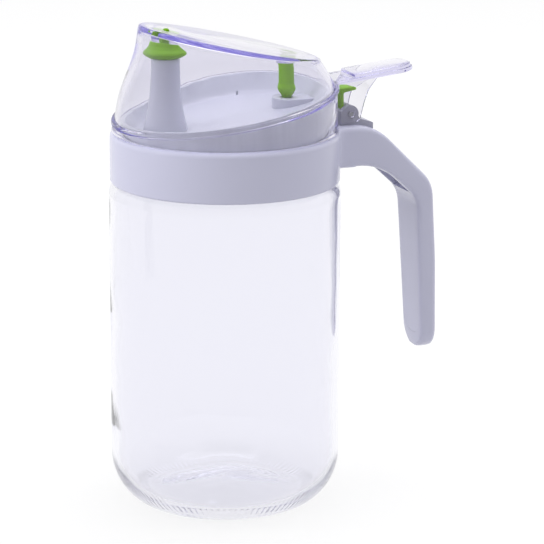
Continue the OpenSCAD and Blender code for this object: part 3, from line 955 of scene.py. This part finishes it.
def makeSpoutPlug():
    z = insert["spoutTop"] + spoutPlug["gap"]
    nub = lid["roof"] - roofSlope * insert["spoutX"] + spoutPlug["nubOut"]
    stem, capTop = spoutPlug["stem"], z + spoutPlug["cap"][-1][1]
    corners = [(r, z + up, k) for r, up, k in spoutPlug["cap"]]
    corners += [(stem, capTop, 0.1), (stem, nub - 0.5, 0), (stem - 0.45, nub, 0)]
    path = roundCorners([(0, z, 0), *corners, (0, nub, 0)], 4)
    piece = turned("spoutPlug", path, 96, insert["spoutX"])
    smooth(piece)
    return piece


def makeVentPlug():
    z = insert["ventTop"]
    top = lid["roof"] - roofSlope * insert["ventX"] - ventPlug["sunk"]
    corners = [(r, z + up, k) for r, up, k in ventPlug["tip"]]
    corners += [(ventPlug["radius"], top, 0.2), (0, top, 0)]
    path = roundCorners([(0, corners[0][1], 0), *corners], 4)
    piece = turned("ventPlug", path, 64, insert["ventX"])
    smooth(piece)
    return piece


def makePin():
    piece = crossRod("hingePin", hinge["pin"], hinge["pinLong"], hinge["x"], hinge["z"], 48)
    softenEdges(piece, 0.2, 2, 60)
    smooth(piece, 50)
    return piece


# one socket in a material's tree; sums written on it become Math nodes
class Wire:
    def __init__(self, tree, socket=None):
        self.tree = tree
        self.socket = socket

    # settings go in first, then the values or links of the sockets
    def node(self, kind, settings=None, sockets=None, out=0):
        made = self.tree.nodes.new(kind)
        for key, value in (settings or {}).items():
            setattr(made, key, value)
        for key, value in (sockets or {}).items():
            if isinstance(value, Wire):
                self.tree.links.new(value.socket, made.inputs[key])
            else:
                made.inputs[key].default_value = value
        return Wire(self.tree, made.outputs[out] if made.outputs else None)

    def sum(self, operation, a, b):
        return self.node("ShaderNodeMath", {"operation": operation}, {0: a, 1: b})

    def __add__(self, other):
        return self.sum("ADD", self, other)

    def __radd__(self, other):
        return self.sum("ADD", other, self)

    def __sub__(self, other):
        return self.sum("SUBTRACT", self, other)

    def __rsub__(self, other):
        return self.sum("SUBTRACT", other, self)

    def __mul__(self, other):
        return self.sum("MULTIPLY", self, other)

    def __rmul__(self, other):
        return self.sum("MULTIPLY", other, self)


def newFinish(name):
    material = bpy.data.materials.new(name)
    material.use_nodes = True
    material.node_tree.nodes.clear()
    return material, Wire(material.node_tree)


def objectNoise(root, scale, detail=2.0, roughness=0.5):
    place = root.node("ShaderNodeTexCoord", out="Object")
    sockets = {"Vector": place, "Scale": scale, "Detail": detail, "Roughness": roughness}
    return root.node("ShaderNodeTexNoise", sockets=sockets)


# a colour between low and high; the Mix node's sockets share names, so they are found by identifier
def tint(root, factor, low, high):
    made = root.node("ShaderNodeMix", {"data_type": "RGBA"}).socket.node
    inputs = {socket.identifier: socket for socket in made.inputs}
    inputs["A_Color"].default_value = (*low, 1)
    inputs["B_Color"].default_value = (*high, 1)
    root.tree.links.new(factor.socket, inputs["Factor_Float"])
    return Wire(root.tree, next(s for s in made.outputs if s.identifier == "Result_Color"))


def bump(root, height, distance, strength=1.0):
    sockets = {"Height": height, "Distance": distance, "Strength": strength}
    return root.node("ShaderNodeBump", sockets=sockets)


def finishWith(root, shader, volume=None):
    sockets = {"Surface": shader}
    if volume:
        sockets["Volume"] = volume
    root.node("ShaderNodeOutputMaterial", sockets=sockets)


# grain is the height of the fine bumps, in metres
collarPlastic = {
    "light": (0.61, 0.61, 0.765),
    "dark": (0.585, 0.585, 0.74),
    "roughness": 0.22,
    "grain": 0.00002,
}
insertPlastic = {
    "light": (0.59, 0.6, 0.69),
    "dark": (0.565, 0.575, 0.665),
    "roughness": 0.22,
    "grain": 0.00002,
}
# painted shade: a darker, greyer copy of the white moulded plastic for the hinge knuckle and its
# foot, which lie in shade under the lever and behind the clear cheeks
bracketPaintedShade = {
    "light": (0.41, 0.41, 0.5),
    "dark": (0.37, 0.37, 0.46),
    "roughness": 0.35,
    "grain": 0.00003,
}
jarGlass = {
    "ior": 1.52,
    "gloss": 0.8,
    "skin": (0.915, 0.914, 0.953),  # let through at each surface
    "absorb": (3, 3, 1.5),  # lost per metre of depth, for red, green and blue
    "waver": 0.00012,
    "waverScale": 55,
}
lidPlastic = {
    "ior": 1.55,
    "gloss": 0.6,
    "skin": (0.885, 0.88, 0.912),
    "absorb": (14, 15.5, 3),
    "waver": 0.00004,
    "waverScale": 60,
}
silicone = {
    "light": (0.22, 0.48, 0.005),
    "dark": (0.17, 0.4, 0.003),
    "roughness": 0.45,
    "grain": 0.00004,
}
sealSilicone = {
    "light": (0.78, 0.79, 0.82),
    "dark": (0.72, 0.73, 0.76),
    "roughness": 0.5,
    "grain": 0.00004,
}
pinSteel = {
    "light": (0.28, 0.28, 0.31),
    "dark": (0.16, 0.16, 0.19),
    "roughness": 0.28,
    "grain": 0.00002,
}


def mouldedPlastic(name, look):
    material, root = newFinish(name)
    broad = objectNoise(root, 28)
    fine = objectNoise(root, 1400, 3)
    shader = root.node(
        "ShaderNodeBsdfPrincipled",
        sockets={
            "Base Color": tint(root, broad, look["dark"], look["light"]),
            "Roughness": broad * 0.08 + (look["roughness"] - 0.04),
            "IOR": 1.46,
            "Normal": bump(root, fine, look["grain"], 0.6),
        },
    )
    finishWith(root, shader)
    return material


def clearFinish(name, look):
    material, root = newFinish(name)
    slow = objectNoise(root, look["waverScale"], 1)
    gloss, absorb = look["gloss"], look["absorb"]
    shader = root.node(
        "ShaderNodeBsdfPrincipled",
        sockets={
            "Base Color": (*look["skin"], 1),
            "Roughness": 0.0,
            "IOR": look["ior"],
            "Specular Tint": (gloss, gloss, gloss, 1),
            "Transmission Weight": 1.0,
            "Normal": bump(root, slow, look["waver"]),
        },
    )
    density = max(absorb) * 1.1
    colour = [1 - k / density for k in absorb]
    sockets = {"Color": (*colour, 1), "Density": density}
    volume = root.node("ShaderNodeVolumeAbsorption", sockets=sockets)
    finishWith(root, shader, volume)
    return material


def greenSilicone():
    material, root = newFinish("greenSilicone")
    broad = objectNoise(root, 90)
    fine = objectNoise(root, 900, 3)
    shader = root.node(
        "ShaderNodeBsdfPrincipled",
        sockets={
            "Base Color": tint(root, broad, silicone["dark"], silicone["light"]),
            "Roughness": fine * 0.12 + silicone["roughness"],
            "IOR": 1.41,
            "Specular IOR Level": 0.3,
            "Normal": bump(root, fine, silicone["grain"], 0.7),
        },
    )
    finishWith(root, shader)
    return material


def paleSilicone():
    material, root = newFinish("paleSilicone")
    fine = objectNoise(root, 700, 3)
    shader = root.node(
        "ShaderNodeBsdfPrincipled",
        sockets={
            "Base Color": tint(root, fine, sealSilicone["dark"], sealSilicone["light"]),
            "Roughness": sealSilicone["roughness"],
            "IOR": 1.41,
            "Normal": bump(root, fine, sealSilicone["grain"], 0.6),
        },
    )
    finishWith(root, shader)
    return material


def drawnSteel():
    material, root = newFinish("drawnSteel")
    place = root.node("ShaderNodeTexCoord", out="Object")
    along = root.node("ShaderNodeMapping", sockets={"Vector": place, "Scale": (3000, 120, 3000)})
    streak = root.node("ShaderNodeTexNoise", sockets={"Vector": along, "Scale": 1.0, "Detail": 2.0})
    shader = root.node(
        "ShaderNodeBsdfPrincipled",
        sockets={
            "Base Color": tint(root, streak, pinSteel["dark"], pinSteel["light"]),
            "Metallic": 1.0,
            "Roughness": streak * 0.15 + pinSteel["roughness"],
            "Normal": bump(root, streak, pinSteel["grain"], 0.5),
        },
    )
    finishWith(root, shader)
    return material


studio = {
    "air": 0.51,  # what the surroundings give to the object
    "airColour": (0.99, 0.99, 1),
    "floor": (0.78, 0.78, 0.785),
    "floorSeen": (0.3, 0.3, 0.302),  # seen by the camera and in glass, where the glow is added
    "floorGlow": 0.72,
    "bounces": 32,  # clear walls carry light a long way along their edges
    "lamps": [
        # name, direction it comes from, distance, size, power, whether it shows in a gloss
        ("keyLamp", (-0.93, 0.2, 0.45), 1.7, 1.3, 10, False),
        ("topLamp", (0.1, 0.1, 1), 1.8, 1.4, 16, True),
        ("lowLamp", (-1, 0.05, 0.05), 1.9, 0.8, 5, False),
        ("sideLamp", (0.95, -0.1, 0.35), 1.9, 1.1, 4, False),
    ],
}


# 1 for what the camera sees straight, in a reflection or through glass, else 0
def seenRay(root):
    path = root.node("ShaderNodeLightPath", out="Is Camera Ray")
    box = path.socket.node
    glossy = Wire(root.tree, box.outputs["Is Glossy Ray"])
    through = Wire(root.tree, box.outputs["Is Transmission Ray"])
    return root.sum("MAXIMUM", root.sum("MAXIMUM", path, glossy), through)


def setStage():
    clearSelection()
    bpy.ops.mesh.primitive_plane_add(size=8)
    floor = bpy.context.object
    floor.name = "floor"
    material, root = newFinish("paleFloor")
    glow = studio["floorGlow"]
    shader = root.node(
        "ShaderNodeBsdfPrincipled",
        sockets={
            "Base Color": tint(root, seenRay(root), studio["floor"], studio["floorSeen"]),
            "Roughness": 0.9,
            "Specular IOR Level": 0.1,
            "Emission Color": tint(root, seenRay(root), (0, 0, 0), (glow, glow, glow)),
            "Emission Strength": 1.0,
        },
    )
    finishWith(root, shader)
    dress(floor, material)
    world = bpy.data.worlds.new("studioAir")
    bpy.context.scene.world = world
    world.use_nodes = True
    world.node_tree.nodes.clear()
    root = Wire(world.node_tree)
    sockets = {"Color": (*studio["airColour"], 1), "Strength": studio["air"]}
    air = root.node("ShaderNodeBackground", sockets=sockets)
    white = root.node("ShaderNodeBackground", sockets={"Color": (1, 1, 1, 1), "Strength": 1.0})
    both = root.node("ShaderNodeMixShader", sockets={0: seenRay(root), 1: air, 2: white})
    root.node("ShaderNodeOutputWorld", sockets={"Surface": both})
    for name, way, distance, size, power, shows in studio["lamps"]:
        clearSelection()
        aim = Vector(way).normalized()
        bpy.ops.object.light_add(type="AREA", location=aim * distance + Vector((0, 0, 0.1)))
        lamp = bpy.context.object
        lamp.name = name
        lamp.rotation_euler = aim.to_track_quat("Z", "Y").to_euler()
        lamp.data.size = size
        lamp.data.energy = power
        lamp.visible_glossy = lamp.visible_transmission = shows
    bpy.context.scene.view_settings.view_transform = "Standard"
    light = bpy.context.scene.cycles
    light.max_bounces = light.glossy_bounces = light.transmission_bounces = studio["bounces"]


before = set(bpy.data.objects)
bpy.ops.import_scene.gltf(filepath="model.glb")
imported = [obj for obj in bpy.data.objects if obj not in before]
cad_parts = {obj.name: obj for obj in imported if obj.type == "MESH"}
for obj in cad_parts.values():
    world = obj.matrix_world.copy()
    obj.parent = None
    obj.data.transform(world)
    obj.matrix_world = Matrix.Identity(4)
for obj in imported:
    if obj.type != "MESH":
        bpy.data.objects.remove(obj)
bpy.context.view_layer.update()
placeCamera()
setStage()
print("camera, floor and lamps placed")

glass = clearFinish("clearGlass", jarGlass)
clearPlastic = clearFinish("clearPlastic", lidPlastic)
white = mouldedPlastic("whiteMouldedPlastic", collarPlastic)
paleGrey = mouldedPlastic("insertPlastic", insertPlastic)
# the same white plastic made darker: painted shade on the knuckle and its foot
paintedShadeGrey = mouldedPlastic("shadedBracketPlastic", bracketPaintedShade)
green = greenSilicone()
steel = drawnSteel()
print("finishes mixed")

glassJar = makeJar()
glassJar.visible_shadow = False  # light goes through it
dress(glassJar, glass, "jar", ["glass_jar"])
print("jar blown")
dress(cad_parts["jar_seal"], paleSilicone())
dress(makeCollar(), white, "head", ["collar_handle"], paintedShadeGrey)
dress(makeCover(), white, "head", ["handle_cover"])
print("collar, handle and cover moulded")
dress(makeInsert(), paleGrey, "head", ["pour_insert"])
print("insert moulded")
clearLid = makeLid()
clearLid.visible_shadow = False
dress(clearLid, clearPlastic, "lid", ["lid"])
print("lid moulded")
dress(makeSpoutPlug(), green, "lid", ["spout_plug"])
dress(makeVentPlug(), green, "lid", ["vent_plug"])
dress(makePin(), steel, "head", ["hinge_pin"])
returnStrap = makeStrap()
dress(returnStrap, green, None, ["return_strap"])
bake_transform(returnStrap)
print("silicone pieces and pin made")
